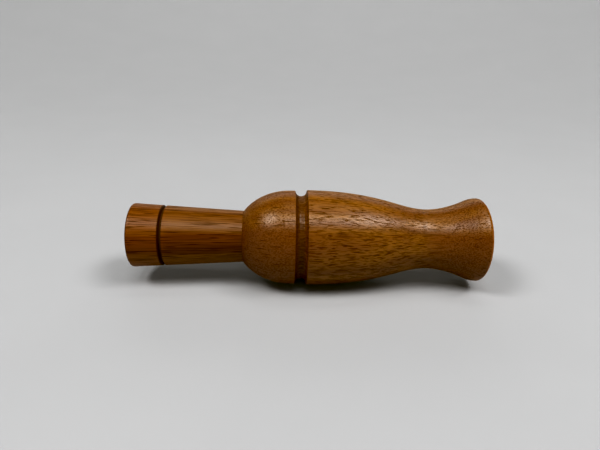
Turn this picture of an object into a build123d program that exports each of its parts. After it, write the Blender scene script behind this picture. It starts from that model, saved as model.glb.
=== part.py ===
"""Hand-turned wooden reed call: a barrel with a flared mouthpiece, and an insert that pulls out of it.

Lengths are in millimetres. The turning axis is X and points to the mouthpiece, +Z is up,
and the origin lies on the axis in the middle of the lanyard groove.
"""
import math
import os

from build123d import *

# Barrel, outside
barrel_length = 95.7            # joint face to mouth face
groove_from_joint = 22.7        # joint face to the middle of the lanyard groove
groove_width = 4.6
groove_depth = 2.5
dome_diameter = 37.4            # at the top of the rounded end
dome_level = 2.2                # level stretch between the dome and the groove
bulge_diameter = 38.0           # fullest diameter, beside the groove
taper_diameter = 30.3           # on the long taper between bulge and waist
taper_place = 0.67              # how far along that taper it is measured
waist_diameter = 24.0
waist_from_mouth = 21.8
flare_diameter = 31.2           # on the flare between waist and lip
flare_place = 0.76              # how far along that flare it is measured
lip_diameter = 33.7
lip_rounding = 1.8              # outer edge of the mouth face
rim_ease = 0.3                  # sanded edges of the groove and the joint

# Barrel, inside
bore_diameter = 15.9            # straight bore, for a five-eighths tenon
joint_wall = 2.55               # wood round the bore at the joint face
bore_lead_in = 0.8              # bevel that lets the sealing rings enter
bell_length = 14.0              # dished part of the mouthpiece
bell_rise = 3.0                 # how much the dish opens past the bore
mouth_edge = 1.2                # inner edge of the mouth face

# Insert
insert_length = 44.0            # the part that shows, joint face to exhaust face
joint_step = 0.25               # insert below the barrel at the joint
exhaust_diameter = 25.4
exhaust_rounding = 0.9          # outer edge of the exhaust face
burnt_line_from_exhaust = 12.6
burnt_line_width = 1.6
burnt_line_floor = 0.3
burnt_line_depth = 0.9
tenon_length = 15.0
tenon_clearance = 0.25          # tenon to bore, taken up by the sealing rings
tenon_bevel = 0.6
tenon_wall = 1.3                # wood between a ring groove and the inner bore
exhaust_flare_length = 20.0
exhaust_flare_rise = 3.6
exhaust_edge = 0.8              # inner edge of the exhaust face

# Sealing rings
ring_section = 1.78
ring_clearance = 0.05           # ring to bore, and ring to the floor of its groove
ring_side_play = 0.3
rear_ring_from_joint = 4.2
ring_spacing = 6.2

# Tone board
board_clearance = 0.35          # board to bore
stem_length = 11.0
stem_clearance = 0.05           # glue line between stem and insert
collar_length = 15.0
slot_depth = 11.0
board_length = 36.0             # free table, collar face to tip
tip_drop = 1.6                  # how far the table curves away at the tip
tip_corner = 5.5
belly_bevel_length = 10.0
belly_bevel_height = 3.5
stem_hole_diameter = 5.2
stem_hole_sink = 1.0            # axis of the hole below the table
channel_width = 5.6             # tone channel, at the back of the slot
channel_depth = 3.8
channel_end_width = 2.6         # tone channel, near the tip
channel_end_depth = 1.2
channel_end_from_tip = 5.0

# Reed and wedge
reed_thickness = 0.25
reed_margin = 0.9               # board edge that shows beside the reed
reed_short_of_tip = 0.6
reed_corner = 5.0
flex_from_collar = 12.0         # line about which the free reed swings
flex_gap = 0.05
wedge_thickness = 2.95
wedge_margin = 0.6
wedge_overhang = 1.6
wedge_bevel = 0.8

# Places along the axis, and radii that fit one another
joint_x = -groove_from_joint
mouth_x = joint_x + barrel_length
exhaust_x = joint_x - insert_length
tenon_x = joint_x + tenon_length
collar_x = tenon_x + collar_length
tip_x = collar_x + board_length
flex_x = collar_x + flex_from_collar
slot_x = collar_x - slot_depth
bore_radius = bore_diameter / 2
joint_radius = bore_radius + joint_wall
tenon_radius = bore_radius - tenon_clearance
ring_radius = ring_section / 2
ring_centre_radius = bore_radius - ring_clearance - ring_radius
ring_floor_radius = ring_centre_radius - ring_radius - ring_clearance
ring_places = [joint_x + rear_ring_from_joint + step * ring_spacing for step in range(2)]
inner_radius = ring_floor_radius - tenon_wall
stem_radius = inner_radius - stem_clearance
board_radius = bore_radius - board_clearance
slot_top = reed_thickness + wedge_thickness
reed_half_width = board_radius - reed_margin
wedge_half_width = math.sqrt(board_radius**2 - slot_top**2) - wedge_margin


def turned(outline, eased=(), ease=0.0):
    """Turn a closed outline, drawn as distance along the axis against radius, into a solid."""
    face = make_face(outline)
    corners = [face.vertices().sort_by_distance((x, radius))[0] for x, radius in eased]
    if corners:
        face = fillet(corners, ease)
    return revolve(Plane.XZ * face, axis=Axis.X)


def barrel():
    """Outer sleeve: dome, lanyard groove, long taper, waist and flared mouthpiece round a through bore."""
    dome_radius = dome_diameter / 2
    bulge_radius = bulge_diameter / 2
    lip_radius = lip_diameter / 2
    half_groove = groove_width / 2
    dome_x = -half_groove - dome_level
    dome_turn = math.acos(joint_radius / dome_radius)
    dome_reach = (dome_x - joint_x) / math.sin(dome_turn)
    lip_x = mouth_x - lip_rounding
    waist_x = mouth_x - waist_from_mouth
    taper_x = half_groove + taper_place * (waist_x - half_groove)
    flare_x = waist_x + flare_place * (lip_x - waist_x)
    bell_x = mouth_x - bell_length
    mouth_radius = bore_radius + bell_rise

    left_rim = (-half_groove, dome_radius)
    right_rim = (half_groove, bulge_radius)
    joint_rim = (joint_x, joint_radius)
    mouth_rim = (mouth_x, mouth_radius)
    turned_body = Spline(
        right_rim,
        (taper_x, taper_diameter / 2),
        (waist_x, waist_diameter / 2),
        (flare_x, flare_diameter / 2),
        (lip_x, lip_radius),
        tangents=((1, 0), (1, 0)),
    )
    lip_end = (mouth_x, lip_radius - lip_rounding)
    outline = [
        EllipticalCenterArc((dome_x, 0), dome_reach, dome_radius, 90, arc_size=math.degrees(dome_turn)),
        Line((dome_x, dome_radius), left_rim),
        ThreePointArc(left_rim, (0, bulge_radius - groove_depth), right_rim),
        turned_body,
        TangentArc((lip_x, lip_radius), lip_end, tangent=(1, 0)),
        Line(lip_end, mouth_rim),
        TangentArc((bell_x, bore_radius), mouth_rim, tangent=(1, 0)),
        Line((bell_x, bore_radius), (joint_x + bore_lead_in, bore_radius)),
        Line((joint_x + bore_lead_in, bore_radius), (joint_x, bore_radius + bore_lead_in)),
        Line((joint_x, bore_radius + bore_lead_in), joint_rim),
    ]
    body = turned(outline, eased=(left_rim, right_rim, joint_rim), ease=rim_ease)
    mouth_circle = body.edges().filter_by(GeomType.CIRCLE).sort_by_distance((mouth_x, 0, mouth_radius))[0]
    return fillet(mouth_circle, mouth_edge)


def insert():
    """Stopper: tapered grip with a burnt line, a tenon with two ring grooves, and a flared exhaust bore."""
    shoulder_radius = joint_radius - joint_step
    exhaust_radius = exhaust_diameter / 2
    grip_slope = (shoulder_radius - exhaust_radius) / insert_length
    flare_x = exhaust_x + exhaust_flare_length
    flare_radius = inner_radius + exhaust_flare_rise
    line_x = exhaust_x + burnt_line_from_exhaust
    half_ring_groove = (ring_section + ring_side_play) / 2

    def grip_radius(x):
        return exhaust_radius + grip_slope * (x - exhaust_x)

    exhaust_rim = (exhaust_x + exhaust_rounding, grip_radius(exhaust_x + exhaust_rounding))
    face_rim = (exhaust_x, exhaust_rim[1] - exhaust_rounding)
    bore_rim = (exhaust_x, flare_radius)
    line_left = line_x - burnt_line_width / 2
    line_right = line_x + burnt_line_width / 2
    line_bottom = grip_radius(line_x) - burnt_line_depth
    grip = [
        exhaust_rim,
        (line_left, grip_radius(line_left)),
        (line_x - burnt_line_floor / 2, line_bottom),
        (line_x + burnt_line_floor / 2, line_bottom),
        (line_right, grip_radius(line_right)),
        (joint_x, shoulder_radius),
        (joint_x, tenon_radius),
    ]
    tenon = []
    for ring_x in ring_places:
        tenon += [
            (ring_x - half_ring_groove, tenon_radius),
            (ring_x - half_ring_groove, ring_floor_radius),
            (ring_x + half_ring_groove, ring_floor_radius),
            (ring_x + half_ring_groove, tenon_radius),
        ]
    tenon += [(tenon_x - tenon_bevel, tenon_radius), (tenon_x, tenon_radius - tenon_bevel)]
    inside = [(tenon_x, inner_radius), (flare_x, inner_radius)]
    outline = [
        TangentArc(exhaust_rim, face_rim, tangent=(-1, 0)),
        Polyline(*grip, *tenon, *inside),
        TangentArc((flare_x, inner_radius), bore_rim, tangent=(-1, 0)),
        Line(bore_rim, face_rim),
    ]
    body = turned(outline)
    bore_circle = body.edges().filter_by(GeomType.CIRCLE).sort_by_distance((exhaust_x, 0, flare_radius))[0]
    return fillet(bore_circle, exhaust_edge)


def sealing_ring(ring_x):
    """Round-section rubber ring in one groove of the tenon."""
    return Plane((ring_x, 0, 0), z_dir=(1, 0, 0)) * Torus(ring_centre_radius, ring_radius)


def round_bar(start_x, end_x, radius):
    """Round bar along the axis."""
    circle = Plane((start_x, 0, 0), z_dir=(1, 0, 0)) * Circle(radius)
    return extrude(circle, end_x - start_x)


def side_cut(outline):
    """Cutter with the given side outline, wide enough to pass through the whole board."""
    return extrude(Plane.XZ * make_face(outline), bore_diameter, both=True)


def tone_channel(ceiling):
    """Space of the tone channel: it narrows and grows shallow towards the tip, where it ends round."""
    half_start = channel_width / 2
    half_end = channel_end_width / 2
    end_x = tip_x - channel_end_from_tip
    round_x = end_x - half_end
    table_at_end = -tip_drop * ((end_x - collar_x) / board_length) ** 2
    plan = [
        Polyline((round_x, half_end), (slot_x, half_start), (slot_x, -half_start), (round_x, -half_end)),
        ThreePointArc((round_x, -half_end), (end_x, 0), (round_x, half_end)),
    ]
    side = Polyline(
        (slot_x, -channel_depth),
        (end_x, table_at_end - channel_end_depth),
        (end_x, ceiling),
        (slot_x, ceiling),
        close=True,
    )
    return extrude(make_face(plan), bore_diameter, both=True) & side_cut(side)


def tone_board():
    """Glued-in sounding board: stem, slotted collar, and a curved table with the tone channel along it."""
    beyond = bore_diameter
    stem_x = tenon_x - stem_length
    tip = (tip_x, -tip_drop)
    above_table = [
        TangentArc((collar_x, 0), tip, tangent=(1, 0)),
        Polyline(tip, (tip_x, beyond), (collar_x, beyond), (collar_x, 0)),
    ]
    slot = Polyline((slot_x, 0), (collar_x, 0), (collar_x, slot_top), (slot_x, slot_top), close=True)
    belly_slope = belly_bevel_height / belly_bevel_length
    belly_bevel = Polyline(
        (collar_x, -board_radius - belly_slope * (board_length - belly_bevel_length)),
        (tip_x, belly_bevel_height - board_radius),
        (tip_x, -2 * beyond),
        (collar_x, -2 * beyond),
        close=True,
    )
    stem_hole = round_bar(stem_x, slot_x + stem_hole_diameter / 2, stem_hole_diameter / 2)
    plan = tongue_plan(stem_x, tip_x, bore_radius, tip_corner)

    body = round_bar(tenon_x, tip_x, board_radius) + round_bar(stem_x, tenon_x, stem_radius)
    for outline in (above_table, slot, belly_bevel):
        body -= side_cut(outline)
    body -= tone_channel(ceiling=slot_top / 2)
    body -= Pos(0, 0, -stem_hole_sink) * stem_hole
    return body & extrude(plan, beyond, both=True)


def tongue_plan(start_x, end_x, half_width, corner):
    """Flat strip seen from above, square at its start and rounded at its end."""
    length = end_x - start_x
    strip = Pos((start_x + end_x) / 2, 0) * Rectangle(length, 2 * half_width)
    return fillet(strip.vertices().group_by(Axis.X)[-1], corner)


def reed_heel():
    """Clamped half of the reed, from the back of the slot to the line where the reed flexes."""
    end_x = flex_x - reed_thickness / 2 - flex_gap
    strip = Pos((slot_x + end_x) / 2, 0) * Rectangle(end_x - slot_x, 2 * reed_half_width)
    return extrude(strip, reed_thickness)


def reed_tongue():
    """Free half of the reed, with a rounded root on the line where it flexes."""
    strip = tongue_plan(flex_x, tip_x - reed_short_of_tip, reed_half_width, reed_corner)
    root_line = Plane((flex_x, 0, reed_thickness / 2), z_dir=(0, 1, 0)) * Circle(reed_thickness / 2)
    return extrude(strip, reed_thickness) + extrude(root_line, reed_half_width, both=True)


def wedge():
    """Cork block pressed between the reed and the roof of the slot."""
    end_x = collar_x + wedge_overhang
    outline = Polyline(
        (slot_x, reed_thickness),
        (end_x, reed_thickness),
        (end_x, slot_top - wedge_bevel),
        (end_x - wedge_bevel, slot_top),
        (slot_x, slot_top),
        close=True,
    )
    return extrude(Plane.XZ * make_face(outline), wedge_half_width, both=True)


pieces = {
    "barrel": barrel(),
    "insert": insert(),
    "o_ring_rear": sealing_ring(ring_places[0]),
    "o_ring_front": sealing_ring(ring_places[1]),
    "tone_board": tone_board(),
    "reed_heel": reed_heel(),
    "reed_tongue": reed_tongue(),
    "wedge": wedge(),
}

os.makedirs("parts", exist_ok=True)
for name, solid in pieces.items():
    export_step(solid, f"parts/{name}.step")
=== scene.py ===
# %% [markdown]
# # Dressing a turned wooden reed call
#
# A reed call is two turned sleeves of wood, one plugged into the other, with a small reed on a
# tone board hidden between them. The CAD model already fixes every size and every moving body.
# This lesson loads it, turns smooth skins for the wood from the CAD outline itself, and gives
# each piece a finish made only of shader nodes.

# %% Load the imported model
import math

import bmesh
import bpy
from mathutils import Matrix, Vector


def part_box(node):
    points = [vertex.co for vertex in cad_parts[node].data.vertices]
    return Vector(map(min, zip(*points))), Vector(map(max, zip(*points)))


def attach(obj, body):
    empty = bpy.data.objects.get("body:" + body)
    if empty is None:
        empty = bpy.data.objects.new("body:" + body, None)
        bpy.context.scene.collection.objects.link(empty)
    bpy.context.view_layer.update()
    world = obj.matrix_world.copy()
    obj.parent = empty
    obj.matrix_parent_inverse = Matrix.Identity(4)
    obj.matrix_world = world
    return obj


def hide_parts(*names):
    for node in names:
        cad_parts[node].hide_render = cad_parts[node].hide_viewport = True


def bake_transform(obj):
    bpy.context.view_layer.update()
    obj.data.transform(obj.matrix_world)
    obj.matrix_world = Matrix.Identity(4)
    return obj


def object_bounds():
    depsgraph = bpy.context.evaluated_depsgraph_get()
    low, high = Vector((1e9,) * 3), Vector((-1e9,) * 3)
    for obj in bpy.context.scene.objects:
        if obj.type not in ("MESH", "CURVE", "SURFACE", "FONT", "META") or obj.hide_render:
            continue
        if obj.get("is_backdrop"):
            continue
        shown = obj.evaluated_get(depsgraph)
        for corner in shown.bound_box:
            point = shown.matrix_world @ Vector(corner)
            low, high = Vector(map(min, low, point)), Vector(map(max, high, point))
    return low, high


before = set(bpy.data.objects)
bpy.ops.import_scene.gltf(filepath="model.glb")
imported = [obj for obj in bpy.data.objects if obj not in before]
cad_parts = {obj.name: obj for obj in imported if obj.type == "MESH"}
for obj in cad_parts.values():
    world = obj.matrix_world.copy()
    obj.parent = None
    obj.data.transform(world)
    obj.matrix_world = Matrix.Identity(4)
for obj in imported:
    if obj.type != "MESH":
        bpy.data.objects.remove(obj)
cad_low, cad_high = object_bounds()
mm = 0.001
print("length of the call:", round((cad_high.x - cad_low.x) / mm, 1), "mm")

# %% [markdown]
# ## The camera
#
# The picture was taken from close by, with a wide lens, from a little above. A camera could be
# turned by hand until the picture looks right, but working it out is exact: one point of the
# axis is known in the picture, and so are its distance and the three turns of the camera. Pixel
# values are named here and used nowhere else.

# %% Place the camera
picture_width = 600
picture_height = 450
focal_pixels = 485
sensor_width = 36
yaw = math.radians(2.2)      # the mouthpiece is a little farther away than the other end
pitch = math.radians(22.5)   # the camera looks down
roll = math.radians(1.7)     # and is not quite level
aim_point = Vector((-1.4 * mm, 0, 0))
aim_pixel = (296.9, 237.0)
aim_depth = 196.6 * mm

level = Vector((math.sin(yaw), math.cos(yaw), 0))
upright = Vector((0, 0, 1))
forward = level * math.cos(pitch) - upright * math.sin(pitch)
side = Vector((math.cos(yaw), -math.sin(yaw), 0))
top = upright * math.cos(pitch) + level * math.sin(pitch)
right = side * math.cos(roll) + top * math.sin(roll)
up = top * math.cos(roll) - side * math.sin(roll)
sideways = (aim_pixel[0] - picture_width / 2) / focal_pixels
downwards = (aim_pixel[1] - picture_height / 2) / focal_pixels
eye = aim_point - (forward + right * sideways - up * downwards) * aim_depth

camera_data = bpy.data.cameras.new("camera")
camera_data.sensor_width = sensor_width
camera_data.lens = sensor_width * focal_pixels / picture_width
camera_data.clip_start = 10 * mm
camera_data.clip_end = 20
camera = bpy.data.objects.new("camera", camera_data)
camera.matrix_world = Matrix.Translation(eye) @ Matrix((right, up, -forward)).transposed().to_4x4()
bpy.context.scene.collection.objects.link(camera)
bpy.context.scene.camera = camera
print("camera at", [round(value / mm) for value in eye], "mm")

# %% [markdown]
# ## Shader maths as formulas
#
# A finish is a small network of nodes. Wiring each node by hand hides the idea behind it, so a
# socket is wrapped in a class that understands + - * and /. A sum of numbers then adds a Math
# node, vectors go through Vector Math and colours through Mix, because a Math node would turn a
# colour grey. Every other node is made by one method: settings first, because they decide which
# sockets a node has, and then its values or links.

# %% Wires and finishes
class Wire:
    """A socket that can be written in a formula."""

    def __init__(self, finish, socket):
        self.finish = finish
        self.socket = socket

    def joined(self, operation, other, flipped=False):
        """Join this socket with a number, a tuple or another wire."""
        pair = (other, self) if flipped else (self, other)
        kinds = {side.socket.type for side in pair if isinstance(side, Wire)}
        if "RGBA" in kinds:
            settings = {"data_type": "RGBA", "blend_type": operation}
            values = {"Factor": 1.0, "A": pair[0], "B": pair[1]}
            return self.finish.node("ShaderNodeMix", settings, values)
        plain = kinds == {"VALUE"} and not isinstance(other, tuple)
        kind = "ShaderNodeMath" if plain else "ShaderNodeVectorMath"
        return self.finish.node(kind, {"operation": operation}, {0: pair[0], 1: pair[1]})

    def __add__(self, other):
        return self.joined("ADD", other)

    def __radd__(self, other):
        return self.joined("ADD", other, flipped=True)

    def __sub__(self, other):
        return self.joined("SUBTRACT", other)

    def __rsub__(self, other):
        return self.joined("SUBTRACT", other, flipped=True)

    def __mul__(self, other):
        return self.joined("MULTIPLY", other)

    def __rmul__(self, other):
        return self.joined("MULTIPLY", other, flipped=True)

    def __truediv__(self, other):
        return self.joined("DIVIDE", other)

    def __rtruediv__(self, other):
        return self.joined("DIVIDE", other, flipped=True)


class Finish:
    """One material, built node by node."""

    def __init__(self, name):
        self.material = bpy.data.materials.new(name)
        self.material.use_nodes = True
        self.tree = self.material.node_tree
        self.tree.nodes.clear()

    def plug(self, sockets, key):
        """Find a socket by its number, or by its name among those that are switched on."""
        if isinstance(key, int):
            return sockets[key]
        return next(socket for socket in sockets if socket.enabled and socket.name == key)

    def node(self, kind, settings=None, values=None, output=None):
        """Add a node, set it up, fill or link its sockets, and hand back one of its outputs."""
        made = self.tree.nodes.new(kind)
        for name, setting in (settings or {}).items():
            setattr(made, name, setting)
        for key, value in (values or {}).items():
            socket = self.plug(made.inputs, key)
            if isinstance(value, Wire):
                self.tree.links.new(value.socket, socket)
            elif socket.type == "VECTOR" and not isinstance(value, tuple):
                socket.default_value = (value, value, value)
            elif socket.type == "RGBA" and len(value) == 3:
                socket.default_value = (*value, 1.0)
            else:
                socket.default_value = value
        outputs = [socket for socket in made.outputs if socket.enabled]
        if not outputs:
            return None
        return Wire(self, self.plug(made.outputs, output) if output else outputs[0])

    def place(self):
        """Place on the piece in millimetres, in the frame that all pieces share."""
        return self.node("ShaderNodeTexCoord", output="Object") * 1000.0

    def parts(self, vector):
        """The three numbers of a vector."""
        split = self.node("ShaderNodeSeparateXYZ", values={0: vector}).socket.node
        return [Wire(self, socket) for socket in split.outputs]

    def noise(self, place, detail=2.0, roughness=0.5, output="Fac"):
        """Soft noise with spots about as large as one unit of place."""
        values = {"Vector": place, "Scale": 1.0, "Detail": detail, "Roughness": roughness}
        return self.node("ShaderNodeTexNoise", {"noise_dimensions": "3D"}, values, output)

    def stir(self, place, reach):
        """A soft random push, up to reach along each axis."""
        push = self.noise(place, detail=1.0, output="Color")
        return self.node("ShaderNodeVectorMath", {"operation": "MULTIPLY"}, {0: push, 1: reach})

    def ease(self, value, low, high):
        """0 below low, 1 above high, and smooth between them; low may be the larger."""
        values = {"Value": value, "From Min": low, "From Max": high}
        return self.node("ShaderNodeMapRange", {"interpolation_type": "SMOOTHSTEP"}, values)

    def size(self, value):
        """A number without its sign."""
        return self.node("ShaderNodeMath", {"operation": "ABSOLUTE"}, {0: value})

    def blend(self, share, first, second):
        """Mix two colours."""
        values = {"Factor": share, "A": first, "B": second}
        return self.node("ShaderNodeMix", {"data_type": "RGBA"}, values)

    def bump(self, height, depth):
        """Normal of a surface whose height, from 0 to 1, stands for a depth in metres."""
        return self.node("ShaderNodeBump", values={"Strength": 1.0, "Distance": depth, "Height": height})

    def surface(self, values):
        """Close the material with a Principled shader and return it."""
        shader = self.node("ShaderNodeBsdfPrincipled", values=values)
        self.node("ShaderNodeOutputMaterial", values={"Surface": shader})
        print("finish", self.material.name, "has", len(self.tree.nodes), "nodes")
        return self.material


def dress(piece, material):
    """Give a piece one material all over."""
    piece.data.materials.clear()
    piece.data.materials.append(material)


print("shader helpers ready")

# %% [markdown]
# ## Reading the turner's outline
#
# Both wooden sleeves are turned, so one outline and the axis describe each of them. The outline
# could be typed in again, but the CAD solid already holds it: a plane through the axis cuts the
# solid, and the cut's upper edge, walked once round, is the outline. Curved stretches then get
# points between those of the CAD mesh on a smooth curve, so that long highlights stay clean. The
# curve is cut off where it would swing past the outline's own reach.

# %% Cut a turned node along its axis
hair = 0.0001 * mm


def turned_outline(node):
    """Outline of a turned CAD node, as places along the axis and radii, in metres."""
    cut = bmesh.new()
    cut.from_mesh(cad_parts[node].data)
    bmesh.ops.remove_doubles(cut, verts=cut.verts[:], dist=hair)
    whole = cut.verts[:] + cut.edges[:] + cut.faces[:]
    bmesh.ops.bisect_plane(
        cut,
        geom=whole,
        dist=hair,
        plane_co=(0, 0, 0),
        plane_no=(0, 1, 0),
        clear_inner=True,
        clear_outer=True,
    )
    start = max((vert for vert in cut.verts if vert.co.z > 0), key=lambda vert: vert.co.z)
    outline = [Vector((start.co.x, start.co.z))]
    before = start
    here = start.link_edges[0].other_vert(start)
    while here is not start:
        outline.append(Vector((here.co.x, here.co.z)))
        ahead = next(
            edge.other_vert(here)
            for edge in here.link_edges
            if edge.other_vert(here) is not before
        )
        before, here = here, ahead
    cut.free()
    return outline


def turn_at(outline, index):
    """How sharply the outline turns at one of its points."""
    before = outline[index] - outline[index - 1]
    after = outline[(index + 1) % len(outline)] - outline[index]
    return abs(before.angle_signed(after))


def smoothed(outline, longest, corner=math.radians(20)):
    """Add points so that no step is longer than longest, on a curve wherever there is no corner."""
    count = len(outline)
    fine = []
    for index in range(count):
        start = outline[index]
        end = outline[(index + 1) % count]
        step = end - start
        leave = step
        arrive = step
        if turn_at(outline, index) < corner:
            behind = start - outline[index - 1]
            share = step.length / (step.length + behind.length)
            leave = step * (1 - share) + behind * (step.length / behind.length) * share
        if turn_at(outline, (index + 1) % count) < corner:
            beyond = outline[(index + 2) % count] - end
            share = step.length / (step.length + beyond.length)
            arrive = step * (1 - share) + beyond * (step.length / beyond.length) * share
        pieces = max(1, math.ceil(step.length / longest))
        for piece in range(pieces):
            way = piece / pieces  # a cubic Hermite curve from start to end
            fine.append(
                start * (2 * way**3 - 3 * way**2 + 1)
                + leave * (way**3 - 2 * way**2 + way)
                + end * (3 * way**2 - 2 * way**3)
                + arrive * (way**3 - way**2)
            )
    first_x = min(point.x for point in outline)
    last_x = max(point.x for point in outline)
    widest = max(point.y for point in outline)
    return [Vector((min(max(point.x, first_x), last_x), min(point.y, widest))) for point in fine]


def closed_piece(name, verts, faces, sharp_angle):
    """A closed mesh as a new piece, smooth except where it turns sharply."""
    mesh = bpy.data.meshes.new(name)
    mesh.from_pydata(verts, [], faces)
    turned_out = bmesh.new()
    turned_out.from_mesh(mesh)
    bmesh.ops.recalc_face_normals(turned_out, faces=turned_out.faces[:])
    turned_out.to_mesh(mesh)
    turned_out.free()
    mesh.shade_smooth()
    mesh.set_sharp_from_angle(angle=sharp_angle)
    piece = bpy.data.objects.new(name, mesh)
    bpy.context.scene.collection.objects.link(piece)
    return piece


def lathe(name, outline, turns):
    """Turn a closed outline round the X axis into a mesh piece."""
    rings = len(outline)
    verts = []
    for turn in range(turns):
        angle = 2 * math.pi * turn / turns
        verts += [(point.x, point.y * math.cos(angle), point.y * math.sin(angle)) for point in outline]
    faces = []
    for turn in range(turns):
        this = turn * rings
        following = (turn + 1) % turns * rings
        for ring in range(rings):
            ahead = (ring + 1) % rings
            faces.append((this + ring, this + ahead, following + ahead, following + ring))
    return closed_piece(name, verts, faces, sharp_angle=math.radians(32))


skins = {}
for node in ("barrel", "insert"):
    outline = smoothed(turned_outline(node), longest=0.8 * mm)
    skin = lathe(node + "_skin", outline, turns=224)
    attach(skin, node)
    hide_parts(node)
    skins[node] = skin
    print(skin.name, "has", len(outline), "rings and", len(skin.data.polygons), "faces")

# %% [markdown]
# ## Wood as a solid
#
# A painted-on grain would bend round the turned shape. Real wood is a block with long vessels
# along it, and the lathe cuts through them: they show as dashes along the sides and as specks
# where the surface crosses the grain. So the finish is a solid texture in millimetres. Stretched
# noise above a threshold gives the open pores, long Voronoi cells hold one vessel each, and softer
# noise gives the ribbons and the fibres. A slow drift of the place makes the grain wander, and a
# ripple makes it wavy. On a bulging piece a pure solid would chop every pore short, so pores and
# vessels can be stretched with the distance from the axis and then run along the turned profile.

# %% Grain shared by both woods
vessel_cell = (11.0, 0.95, 0.95)  # millimetres


def grain(finish, place, dash, drift, ripple, rare, swell=1.0):
    """Open pores, long vessels, ribbons and fibres of a wood with its grain along X, from 0 to 1.

    dash is the size of a pore, drift how far the grain wanders, ripple how wavy it is, rare how
    few pores there are, and swell the stretch of pores and vessels across the axis.
    """
    wander = finish.stir(place * (0.025, 0.06, 0.06), (0.0, drift, drift))
    waves = finish.stir(place * (0.17, 0.3, 0.3), (0.0, 1.0, 1.0))
    flow = place + wander + waves * ripple
    spread = finish.node("ShaderNodeCombineXYZ", values={0: 1.0, 1: swell, 2: swell})
    threads = place * spread + wander + waves * ripple

    pores = finish.ease(finish.noise(threads / dash, detail=1.2, roughness=0.6), rare, rare + 0.065)
    cells = {"Vector": threads / vessel_cell, "Scale": 1.0, "Randomness": 1.0}
    gap = finish.node("ShaderNodeTexVoronoi", {"feature": "F1"}, cells, "Distance")
    vessels = finish.ease(gap, 0.28, 0.12)
    ribbons = finish.ease(finish.noise(flow * (0.012, 0.26, 0.26), detail=2.0), 0.3, 0.7)
    fibres = finish.noise(flow * (0.11, 2.6, 2.6), detail=3.0, roughness=0.6)
    return pores, vessels, ribbons, fibres


def end_grain(finish):
    """1 where the surface faces along the axis, 0 on the sides."""
    normal = finish.node("ShaderNodeNewGeometry", output="Normal")
    facing = finish.size(finish.parts(normal)[0])
    return finish.ease(facing, 0.1, 0.9)


def radius_of(finish, place):
    """Distance from the turning axis in millimetres."""
    flat = place * (0.0, 1.0, 1.0)
    return finish.node("ShaderNodeVectorMath", {"operation": "LENGTH"}, {0: flat}, "Value")


print("grain ready")

# %% [markdown]
# ## The barrel's finish
#
# The barrel is an orange-brown hardwood with open pores under a satin lacquer. The pores are
# darker, they are small dents, and the lacquer breaks over them, which is why a highlight looks
# speckled. Nearly all the gloss is therefore a coat, whose weight the pores can cut. Towards both
# ends the lathe cuts across the grain: the wood is redder there and its dashes shorten to dots.
# The grain crosses the lanyard groove in short dark streaks. Past the dished mouthpiece the bore
# is bare wood: dull, with drill rings. Places and radii are in millimetres.

# %% Barrel wood
groove_half_width = 2.3
lip_x = 71.6
bore_radius = 7.95
bell_start = 60.0
outer_wall = 14.0        # the outside of the barrel is farther from the axis than this
long_grain_middle = 26.0
golden_middle = 27.0


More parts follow.
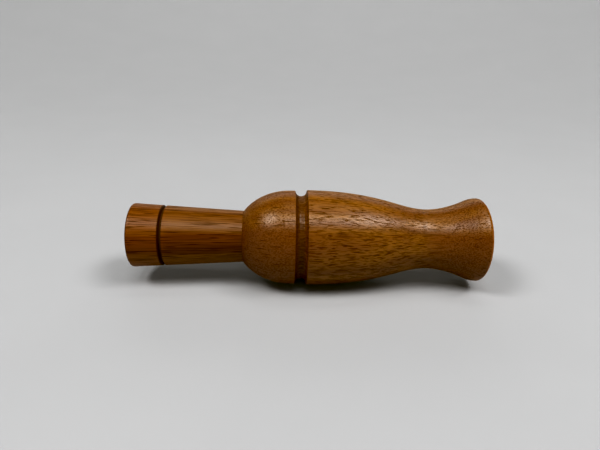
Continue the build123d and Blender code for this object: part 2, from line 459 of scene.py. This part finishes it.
def barrel_finish():
    """Open-pored orange-brown wood, satin outside and bare inside the bore."""
    finish = Finish("barrel_wood_finish")
    place = finish.place()
    sides = finish.parts(place)
    along = sides[0]
    up = sides[2]
    radius = radius_of(finish, place)
    outside = finish.ease(radius, outer_wall, outer_wall + 1.0)
    # the rings of the tree lie flat on top and below, and are wavy on the long part of the barrel
    flat_sawn = finish.ease(finish.size(up / radius + 0.1), 0.55, 0.75)
    figure = finish.ease(along, 8.0, 30.0) * finish.ease(along, 66.0, 52.0) * flat_sawn
    swell = 0.2 + 12.8 / radius  # 1 at 16 mm from the axis, less where the barrel is fuller
    ripple = 0.3 + figure * 1.7
    dashes, vessels, ribbons, fibres = grain(
        finish, place, dash=(4.4, 0.27, 0.27), drift=4.0, ripple=ripple, rare=0.54, swell=swell
    )
    dots = finish.ease(finish.noise(place / (0.8, 0.28, 0.28), detail=1.0), 0.51, 0.61)
    cut_across = finish.ease(finish.size(along - long_grain_middle), 22.0, 34.0)
    pores = dashes * (1.0 - cut_across) + dots * cut_across
    clouds = finish.noise(place * (0.05, 0.09, 0.09), detail=1.0)
    red = finish.ease(finish.size(along - golden_middle) + clouds * 16.0, 25.0, 39.0)
    red = red * (1.0 - flat_sawn * 0.85)

    colour = finish.blend(ribbons, (0.168, 0.058, 0.0010), (0.234, 0.096, 0.0015))
    colour = finish.blend(red * 0.75, colour, (0.148, 0.044, 0.0010))
    colour = finish.blend(finish.ease(fibres, 0.45, 0.70) * 0.35, colour, (0.085, 0.025, 0.0010))
    across_grain = end_grain(finish) * (0.4 - flat_sawn * 0.25)
    colour = finish.blend(across_grain, colour, (0.10, 0.025, 0.0010))
    colour = finish.blend(pores * (0.58 - red * 0.2), colour, (0.050, 0.013, 0.0010))
    colour = finish.blend(vessels * (0.50 - red * 0.2), colour, (0.025, 0.007, 0.0015))

    groove = finish.ease(finish.size(along), groove_half_width, groove_half_width - 0.4)
    groove = groove * outside
    crossed = finish.ease(finish.noise(place * (0.3, 1.6, 1.6), detail=2.0), 0.42, 0.62)
    # painted shade: the groove is darkened, most on its dome side, for the shade in its hollow
    painted_shade_side = finish.ease(along, 1.8, 0.4)
    colour = finish.blend(groove * painted_shade_side * 0.6, colour, (0.088, 0.031, 0.004))
    colour = finish.blend(groove * crossed * 0.4, colour, (0.045, 0.015, 0.002))
    # painted light: the mouth's lip is a brighter orange, standing for its rim lit from the right
    painted_lip_light = finish.ease(along, lip_x, lip_x + 0.6) * outside
    colour = finish.blend(painted_lip_light * 0.8, colour, (0.30, 0.105, 0.002))

    bare = finish.ease(radius, bore_radius + 0.55, bore_radius + 0.1)
    bare = bare * finish.ease(along, bell_start + 2.0, bell_start)
    rings = finish.noise(along * (2.2, 0.0, 0.0), detail=2.0)
    bare_colour = finish.blend(rings, (0.10, 0.036, 0.008), (0.16, 0.065, 0.018))
    colour = finish.blend(bare, colour, bare_colour)

    smear = finish.noise(place * (0.12, 0.2, 0.2), detail=2.0)
    roughness = 0.34 + smear * 0.10 + pores * 0.25 + bare * 0.3 + groove * 0.1
    height = (1.0 - pores) * 0.6 + (1.0 - vessels) * 0.4 + fibres * 0.1
    height = height + rings * (bare + groove) * 0.4
    lacquer = (1.0 - pores * (0.95 - cut_across * 0.15)) * (1.0 - vessels * 0.9)
    lacquer = lacquer * (1.0 - bare) * (1.0 - groove * (0.25 + crossed * 0.5))
    return finish.surface({
        "Base Color": colour,
        "Roughness": roughness,
        "Specular IOR Level": 0.03,
        "Coat Weight": lacquer * 0.37,
        "Coat Roughness": 0.36,
        "Coat IOR": 2.0,
        "Normal": finish.bump(height, 0.11 * mm),
    })


dress(skins["barrel"], barrel_finish())

# %% [markdown]
# ## The insert's finish
#
# The insert is cut from straighter, redder wood with long dark streaks. A wire held against the
# spinning wood burnt the line near its end, so the colour turns to char inside that groove and
# browns beside it. The tenon that hides in the barrel never gets lacquer. Both woods share one
# endless texture, so the insert takes its grain from another place of it. That grain is squeezed
# to follow the grip's taper, because a slope would chop the long fine lines into dashes.

# %% Insert wood
burnt_line_x = -54.1
burnt_half_width = 0.8
joint_x = -22.7
exhaust_bore_radius = 4.8
other_block = (300.0, 40.0, 20.0)
taper_radius = 10.5  # roughly the grip's radius at the joint
grip_radius = 11.6   # roughly its radius half way along
grip_slope = 0.05    # roughly how fast it widens away from the joint


def insert_finish():
    """Straight-streaked red-brown wood with one burnt line and a bare tenon."""
    finish = Finish("insert_wood_finish")
    here = finish.place()
    sides = finish.parts(here)
    along = sides[0]
    up = sides[2]
    radius = radius_of(finish, here)
    squeeze = grip_radius / (taper_radius + (joint_x - along) * grip_slope)
    spread = finish.node("ShaderNodeCombineXYZ", values={0: 1.0, 1: squeeze, 2: squeeze})
    place = here * spread + other_block
    pores, vessels, ribbons, fibres = grain(
        finish, place, dash=(15.0, 0.26, 0.26), drift=0.8, ripple=0.04, rare=0.56
    )
    streaks = finish.noise(place * (0.008, 1.9, 1.9), detail=3.0, roughness=0.65)
    streaks = finish.ease(streaks, 0.48, 0.66)

    cap = finish.ease(along, burnt_line_x + 4.0, burnt_line_x - 2.0)
    # paler towards the top and the underside; on the underside this is painted bounce light, lifting it
    # out of the floor's shade
    pale_and_painted_bounce = finish.ease(finish.size(up - 1.0) + ribbons * 5.0 + cap * 2.5, 5.0, 9.0)
    colour = finish.blend(ribbons, (0.106, 0.024, 0.0008), (0.143, 0.042, 0.0010))
    colour = finish.blend(pale_and_painted_bounce * 0.65, colour, (0.205, 0.084, 0.0015))
    colour = finish.blend(cap * 0.3, colour, (0.22, 0.062, 0.0012))
    colour = finish.blend(streaks * 0.5, colour, (0.050, 0.009, 0.0008))
    colour = finish.blend(finish.ease(fibres, 0.50, 0.72) * 0.38, colour, (0.050, 0.010, 0.0008))
    colour = finish.blend(pores * 0.6, colour, (0.030, 0.007, 0.0010))
    colour = finish.blend(vessels * 0.45, colour, (0.012, 0.003, 0.0010))
    colour = finish.blend(end_grain(finish) * 0.7, colour, (0.045, 0.006, 0.0010))

    tenon = finish.ease(along, joint_x - 0.3, joint_x + 0.1)
    inside = finish.ease(radius, exhaust_bore_radius + 0.8, exhaust_bore_radius + 0.1)
    bare = finish.node("ShaderNodeMath", {"operation": "MAXIMUM"}, {0: tenon, 1: inside})
    rings = finish.noise(along * (2.6, 0.0, 0.0), detail=2.0)
    bare_colour = finish.blend(rings, (0.12, 0.050, 0.016), (0.18, 0.082, 0.030))
    colour = finish.blend(bare * 0.75, colour, bare_colour)

    past_line = along - burnt_line_x
    from_line = finish.size(past_line)
    outside = finish.ease(radius, 9.0, 10.0)
    scorched = finish.ease(from_line, burnt_half_width * 1.6, burnt_half_width * 0.9) * outside
    char = finish.ease(from_line, burnt_half_width * 0.9, burnt_half_width * 0.5) * outside
    colour = finish.blend(scorched * 0.3, colour, (0.035, 0.009, 0.001))
    # char, lighter brown on the flank towards the barrel: painted light where that flank catches the
    # lamps
    towards_barrel = finish.ease(past_line, -0.2, 0.5)
    char_and_lit_flank = finish.blend(towards_barrel, (0.050, 0.017, 0.0050), (0.100, 0.050, 0.018))
    colour = finish.blend(char, colour, char_and_lit_flank)

    smear = finish.noise(place * (0.12, 0.2, 0.2), detail=2.0)
    roughness = 0.30 + smear * 0.10 + pores * 0.15 + bare * 0.3 + char * 0.1
    height = (1.0 - pores) * 0.4 + (1.0 - vessels) * 0.4 + fibres * 0.08 + rings * bare * 0.3
    lacquer = (1.0 - pores * 0.8) * (1.0 - streaks * 0.3) * (1.0 - vessels * 0.8)
    lacquer = lacquer * (1.0 - bare) * (1.0 - char)
    return finish.surface({
        "Base Color": colour,
        "Roughness": roughness,
        "Specular IOR Level": 0.03,
        "Coat Weight": lacquer * 0.265,
        "Coat Roughness": 0.38,
        "Coat IOR": 2.0,
        "Normal": finish.bump(height, 0.04 * mm),
    })


dress(skins["insert"], insert_finish())

# %% [markdown]
# ## The sealing rings
#
# Two moulded rubber rings sit in the tenon's grooves and grip the bore. The CAD rings already
# have the right round section, so they only need a finish: dull black with a little bloom, and
# the fine raised line that the two halves of the mould leave round the outside. The line could
# be modelled, but it is thinner than a hair, so a bump draws it.

# %% Ring rubber
ring_places = (-18.5, -12.3)  # middles of the two rings along the axis, in millimetres
ring_middle = sum(ring_places) / 2
ring_spread = (ring_places[1] - ring_places[0]) / 2


def ring_finish():
    """Dull black rubber with a mould line round the middle of each ring."""
    finish = Finish("ring_rubber_finish")
    place = finish.place()
    along = finish.parts(place)[0]
    off_line = finish.size(finish.size(along - ring_middle) - ring_spread)
    line = finish.ease(off_line, 0.10, 0.03)
    bloom = finish.ease(finish.noise(place * 0.9, detail=3.0), 0.45, 0.75)
    specks = finish.noise(place * 9.0, detail=2.0)
    colour = finish.blend(bloom, (0.009, 0.009, 0.010), (0.022, 0.022, 0.022))
    colour = finish.blend(line * 0.6, colour, (0.035, 0.035, 0.035))
    return finish.surface({
        "Base Color": colour,
        "Roughness": 0.42 + bloom * 0.25 + specks * 0.1,
        "Specular IOR Level": 0.35,
        "Normal": finish.bump(line * 0.8 + specks * 0.2, 0.03 * mm),
    })


rubber = ring_finish()
for node in ("o_ring_rear", "o_ring_front"):
    dress(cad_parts[node], rubber)
print("rings dressed, mould line round", ring_places)

# %% [markdown]
# ## The tone board
#
# The tone board is one polished plastic rod, turned, slotted and filed: a stem glued into the
# insert, a collar with a slot for the wedge, and a long table that curves away under the reed.
# Its CAD edges are perfectly sharp, which no filed edge is, so a modifier breaks them by a tenth
# of a millimetre. The modifier works on welded corners, because the loaded mesh has a separate
# corner for each face. Long polishing scratches and the cross marks of the file make the finish.

# %% Board plastic
collar_face_x = 7.3  # the table starts here, in millimetres
sharp_corner = math.radians(35)


def soften_edges(piece, width, segments):
    """Break the sharp edges of a CAD node without touching its own mesh."""
    weld = piece.modifiers.new("joined_corners", "WELD")
    weld.merge_threshold = 5 * hair
    edges = piece.modifiers.new("broken_edges", "BEVEL")
    edges.width = width
    edges.segments = segments
    edges.limit_method = "ANGLE"
    edges.angle_limit = sharp_corner
    print(piece.name, "has its edges broken by", round(width / mm, 2), "mm")


def board_finish():
    """Polished black plastic with fine scratches along it and file marks across its table."""
    finish = Finish("board_plastic_finish")
    place = finish.place()
    sides = finish.parts(place)
    along = sides[0]
    up = sides[2]
    scratches = finish.ease(finish.noise(place * (0.12, 7.0, 7.0), detail=2.0), 0.55, 0.75)
    table = finish.ease(up, -2.2, -0.3) * finish.ease(along, collar_face_x + 0.2, collar_face_x + 1.2)
    file_marks = finish.noise(place * (5.0, 0.25, 0.25), detail=2.0) * table
    dust = finish.ease(finish.noise(place * 0.5, detail=4.0, roughness=0.65), 0.5, 0.8)
    colour = finish.blend(dust, (0.0075, 0.0075, 0.0085), (0.022, 0.022, 0.022))
    colour = finish.blend(scratches * 0.4, colour, (0.030, 0.030, 0.032))
    return finish.surface({
        "Base Color": colour,
        "Roughness": 0.16 + scratches * 0.14 + file_marks * 0.2 + dust * 0.1,
        "Specular IOR Level": 0.4,
        "Normal": finish.bump((1.0 - scratches) * 0.3 + file_marks * 0.7, 0.012 * mm),
    })


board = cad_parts["tone_board"]
soften_edges(board, 0.1 * mm, 2)
dress(board, board_finish())

# %% [markdown]
# ## The cork wedge
#
# A slip of pressed cork clamps the reed in the collar's slot. Cork is a crowd of soft granules,
# each a slightly different tan, with dark crevices between some of them. Voronoi cells are just
# such a crowd: the cell's own colour picks the tan, and the distance to its border gives the
# crevices and the bump.

# %% Wedge cork
def cork_finish():
    """Pressed cork: tan granules, dark crevices and a dry, dull face."""
    finish = Finish("wedge_cork_finish")
    place = finish.place()
    crowd = place + finish.stir(place * 1.4, (0.5, 0.5, 0.5))
    cells = {"Vector": crowd, "Scale": 1.25, "Randomness": 1.0}
    granule = finish.node("ShaderNodeTexVoronoi", {"feature": "F1"}, cells, "Color")
    border = finish.node("ShaderNodeTexVoronoi", {"feature": "DISTANCE_TO_EDGE"}, cells, "Distance")
    tan = finish.parts(granule)[0]
    crevice = finish.ease(border, 0.09, 0.0)
    specks = finish.ease(finish.noise(place * 2.2, detail=3.0, roughness=0.7), 0.60, 0.72)
    colour = finish.blend(tan, (0.225, 0.108, 0.036), (0.345, 0.190, 0.076))
    colour = finish.blend(crevice * 0.22, colour, (0.110, 0.048, 0.016))
    colour = finish.blend(specks * 0.8, colour, (0.050, 0.020, 0.008))
    return finish.surface({
        "Base Color": colour,
        "Roughness": 0.78 + tan * 0.15,
        "Specular IOR Level": 0.2,
        "Normal": finish.bump((1.0 - crevice) * 0.6 + (1.0 - specks) * 0.4, 0.08 * mm),
    })


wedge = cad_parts["wedge"]
soften_edges(wedge, 0.25 * mm, 3)
dress(wedge, cork_finish())

# %% [markdown]
# ## The reed
#
# The reed is one springy strip of clear film. The CAD model splits it where it flexes, because
# a rigid model needs a hinge there. Here it is whole again: a thin strip with many steps along
# it. A single sheet of faces would do for a picture, but a closed strip has real edges and a
# real thickness.

# %% Reed strip
reed_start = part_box("reed_heel")[0][0]
reed_corner = 5.0 * mm
reed_tip, reed_half_width, reed_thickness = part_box("reed_tongue")[1]


def half_width_at(x):
    """Half the width of the strip at a place along it, with the corners of its tip rounded."""
    past = max(0.0, x - (reed_tip - reed_corner))
    return reed_half_width - reed_corner + math.sqrt(max(0.0, reed_corner**2 - past**2))


def reed_strip(name, steps, corner_steps, columns):
    """A closed thin strip, divided into many steps along its length."""
    corner_start = reed_tip - reed_corner
    straight = corner_start - reed_start
    stations = [reed_start + straight * step / steps for step in range(steps)]
    for step in range(corner_steps + 1):
        quarter = math.pi / 2 * step / corner_steps
        stations.append(corner_start + reed_corner * math.sin(quarter))
    verts = []
    for x in stations:
        spread = [half_width_at(x) * (2 * column / (columns - 1) - 1) for column in range(columns)]
        verts += [(x, y, 0.0) for y in spread]
        verts += [(x, y, reed_thickness) for y in reversed(spread)]
    ring = 2 * columns
    faces = []
    for station in range(len(stations) - 1):
        first = station * ring
        following = first + ring
        for corner in range(ring):
            ahead = (corner + 1) % ring
            faces.append((first + corner, first + ahead, following + ahead, following + corner))
    for first in (0, (len(stations) - 1) * ring):
        last = first + ring - 1
        for column in range(columns - 1):
            faces.append((first + column, first + column + 1, last - 1 - column, last - column))
    return closed_piece(name, verts, faces, sharp_angle=math.radians(40))


reed = reed_strip("reed_strip", steps=64, corner_steps=14, columns=9)
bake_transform(reed)
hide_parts("reed_heel", "reed_tongue")
print("reed strip is", round((reed_tip - reed_start) / mm, 1), "mm long")

# %% [markdown]
# ## The reed's film
#
# Reeds are cut from clear polyester film. It could be given real refraction, but a film this thin
# hardly bends light, so a pale see-through surface with a clean gloss does the same. A faint haze
# and hairline scratches along the strip come from handling.

# %% Reed film
def reed_finish():
    """Clear polyester film, a little hazy, with hairline scratches along it."""
    finish = Finish("reed_film_finish")
    place = finish.place()
    scratches = finish.ease(finish.noise(place * (0.2, 8.0, 8.0), detail=2.0), 0.58, 0.72)
    haze = finish.noise(place * 0.35, detail=3.0)
    colour = finish.blend(haze, (0.30, 0.31, 0.29), (0.40, 0.41, 0.38))
    colour = finish.blend(scratches * 0.5, colour, (0.55, 0.56, 0.54))
    return finish.surface({
        "Base Color": colour,
        "Roughness": 0.10 + haze * 0.08 + scratches * 0.2,
        "Specular IOR Level": 0.55,
        "Alpha": 0.38,
        "Normal": finish.bump(1.0 - scratches, 0.004 * mm),
    })


dress(reed, reed_finish())

# %% [markdown]
# ## The floor
#
# The call lies on a plain pale floor. A flat floor would show its far edge behind the call, so
# the floor is a wide shallow bowl: level in the middle, and rising ever more steeply all round,
# which looks seamless from every side.

# %% Floor
floor_level = cad_low.z
flat_reach = 0.20
bowl_reach = 1.5
bowl_height = 1.1
bowl_steps = 32
pinhole = 0.0002  # a hole in the middle that is too small to see keeps every face four-sided

sweep = [Vector((floor_level, pinhole)), Vector((floor_level, flat_reach))]
for step in range(1, bowl_steps + 1):
    share = step / bowl_steps
    height = floor_level + bowl_height * share**3
    reach = flat_reach + (bowl_reach - flat_reach) * share
    sweep.append(Vector((height, reach)))


def bowl(name, profile, turns):
    """Turn an open profile of heights and radii round the upright axis."""
    verts = []
    for turn in range(turns):
        angle = 2 * math.pi * turn / turns
        verts += [(point.y * math.cos(angle), point.y * math.sin(angle), point.x) for point in profile]
    rings = len(profile)
    faces = []
    for turn in range(turns):
        this = turn * rings
        following = (turn + 1) % turns * rings
        for ring in range(rings - 1):
            faces.append((this + ring, following + ring, following + ring + 1, this + ring + 1))
    mesh = bpy.data.meshes.new(name)
    mesh.from_pydata(verts, [], faces)
    mesh.shade_smooth()
    piece = bpy.data.objects.new(name, mesh)
    bpy.context.scene.collection.objects.link(piece)
    return piece


def floor_finish():
    """Matt pale paper with the faintest unevenness."""
    finish = Finish("floor_finish")
    mottle = finish.noise(finish.place() * 0.02, detail=3.0)
    return finish.surface({
        "Base Color": finish.blend(mottle, (0.376, 0.376, 0.379), (0.392, 0.392, 0.394)),
        "Roughness": 0.8,
        "Specular IOR Level": 0.2,
    })


floor = bowl("floor", sweep, turns=96)
dress(floor, floor_finish())
floor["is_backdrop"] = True
print("floor at", round(floor_level / mm, 1), "mm")

# %% [markdown]
# ## The light
#
# A single lamp would leave hard shadows and one small glint. Three soft boxes hang in front, left,
# right and middle, and make the broad highlights on the wood. A low one at the back gives the top
# its sheen, and a last one lights the floor behind the call. The view settings add the contrast of
# a small camera: a gamma that deepens the middle tones, and a black level that takes the last haze
# out of the shadows.

# %% Lights
def soft_box(name, place, target, width, depth, watts):
    """A rectangular area light that faces a point."""
    light = bpy.data.lights.new(name, "AREA")
    light.shape = "RECTANGLE"
    light.size = width
    light.size_y = depth
    light.energy = watts
    lamp = bpy.data.objects.new(name, light)
    lamp.location = place
    lamp.rotation_mode = "QUATERNION"
    lamp.rotation_quaternion = (Vector(target) - Vector(place)).to_track_quat("-Z", "Y")
    bpy.context.scene.collection.objects.link(lamp)
    return lamp


soft_box("soft_box_left", (-0.68, -0.32, 1.04), (-0.01, 0, 0), 0.44, 0.36, 10.5)
soft_box("soft_box_right", (0.60, -0.32, 1.04), (0.03, 0, 0), 0.60, 0.36, 11.0)
soft_box("soft_box_middle", (0.0, -0.52, 1.10), (0, 0, 0), 0.44, 0.50, 6.0)
soft_box("soft_box_back", (0.0, 1.00, 0.55), (0, 0, 0), 1.40, 0.35, 3.2)
soft_box("backdrop_light", (0.25, 0.30, 1.35), (0.30, 1.05, 0.30), 0.9, 0.4, 3.3)

world = bpy.data.worlds.new("studio")
world.use_nodes = True
sky = world.node_tree.nodes["Background"]
sky.inputs["Color"].default_value = (0.95, 0.97, 1.0, 1.0)
sky.inputs["Strength"].default_value = 0.08
bpy.context.scene.world = world

picture = bpy.context.scene.view_settings
picture.view_transform = "Standard"
picture.gamma = 0.74
picture.use_curve_mapping = True
picture.curve_mapping.black_level = (0.012, 0.012, 0.022)
print("lights ready")

# %% [markdown]
#
# Both boxes, the visual model's and the CAD model's, are measured, and the largest difference
# between them is printed.

# %% Compare the two boxes
low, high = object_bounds()
pairs = zip((*low, *high), (*cad_low, *cad_high))
difference = max(abs(seen - solid) for seen, solid in pairs)
print("largest difference:", round(difference / mm, 3), "mm")
